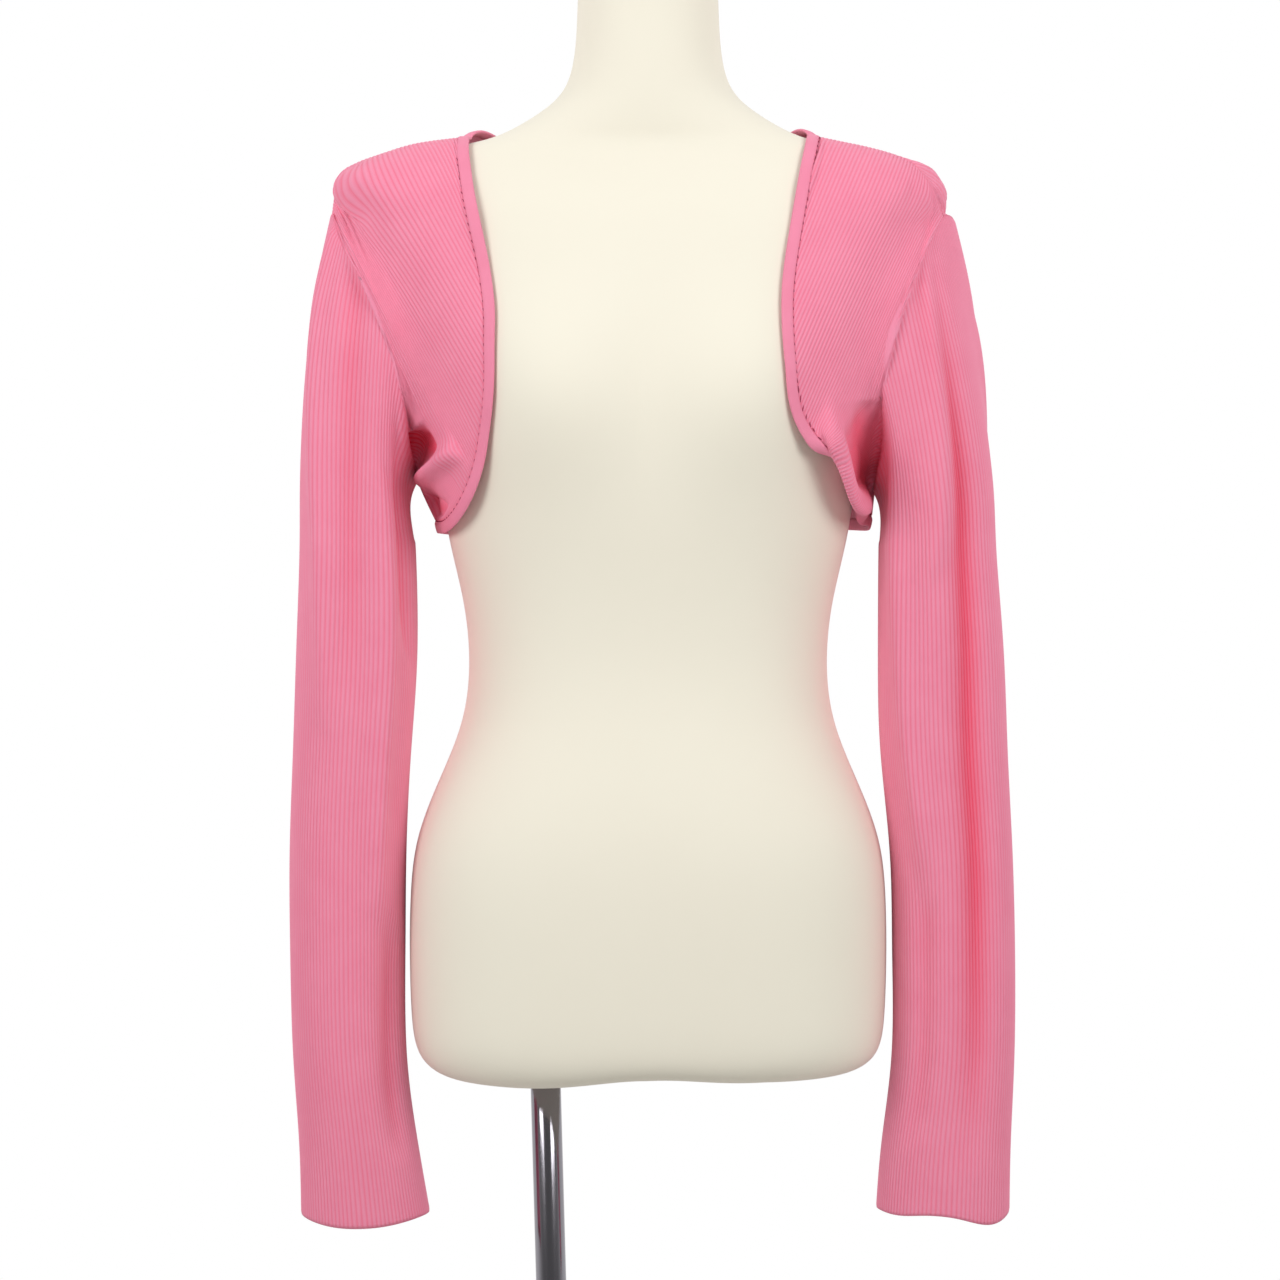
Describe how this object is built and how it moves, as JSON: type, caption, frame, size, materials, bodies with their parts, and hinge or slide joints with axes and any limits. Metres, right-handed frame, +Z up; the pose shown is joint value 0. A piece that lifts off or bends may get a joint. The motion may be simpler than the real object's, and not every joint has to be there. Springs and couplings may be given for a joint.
{
  "type": "bolero cardigan on a dress form",
  "caption": "Cropped open-front bolero in fine rib knit with long close sleeves and a narrow edge band, worn by a limbless dress form on a leaning pole with a round base.",
  "frame": {"origin": "centre of the underside of the round base plate, which rests on the floor", "axes": "+Z up the dress form, -Y towards the front of the cardigan, +X towards the wearer's left"},
  "size_m": [0.4779, 0.32, 1.447],
  "materials": {
    "knit": "fine rib knit in pink cotton and viscose yarn, matte with a soft nap",
    "band": "narrow plain knitted band in the same pink yarn, linked on with a visible row of loops",
    "jersey": "smooth ivory jersey stretched over the form",
    "chrome": "polished chrome plate on steel"
  },
  "bodies": {
    "root": {"back": "knit", "front_right": "knit", "front_left": "knit", "sleeve_right": "knit", "sleeve_left": "knit", "edge_band": "band", "dress_form": "jersey", "pole": "chrome", "pole_collar": "chrome", "base_plate": "chrome"}
  },
  "joints": []
}
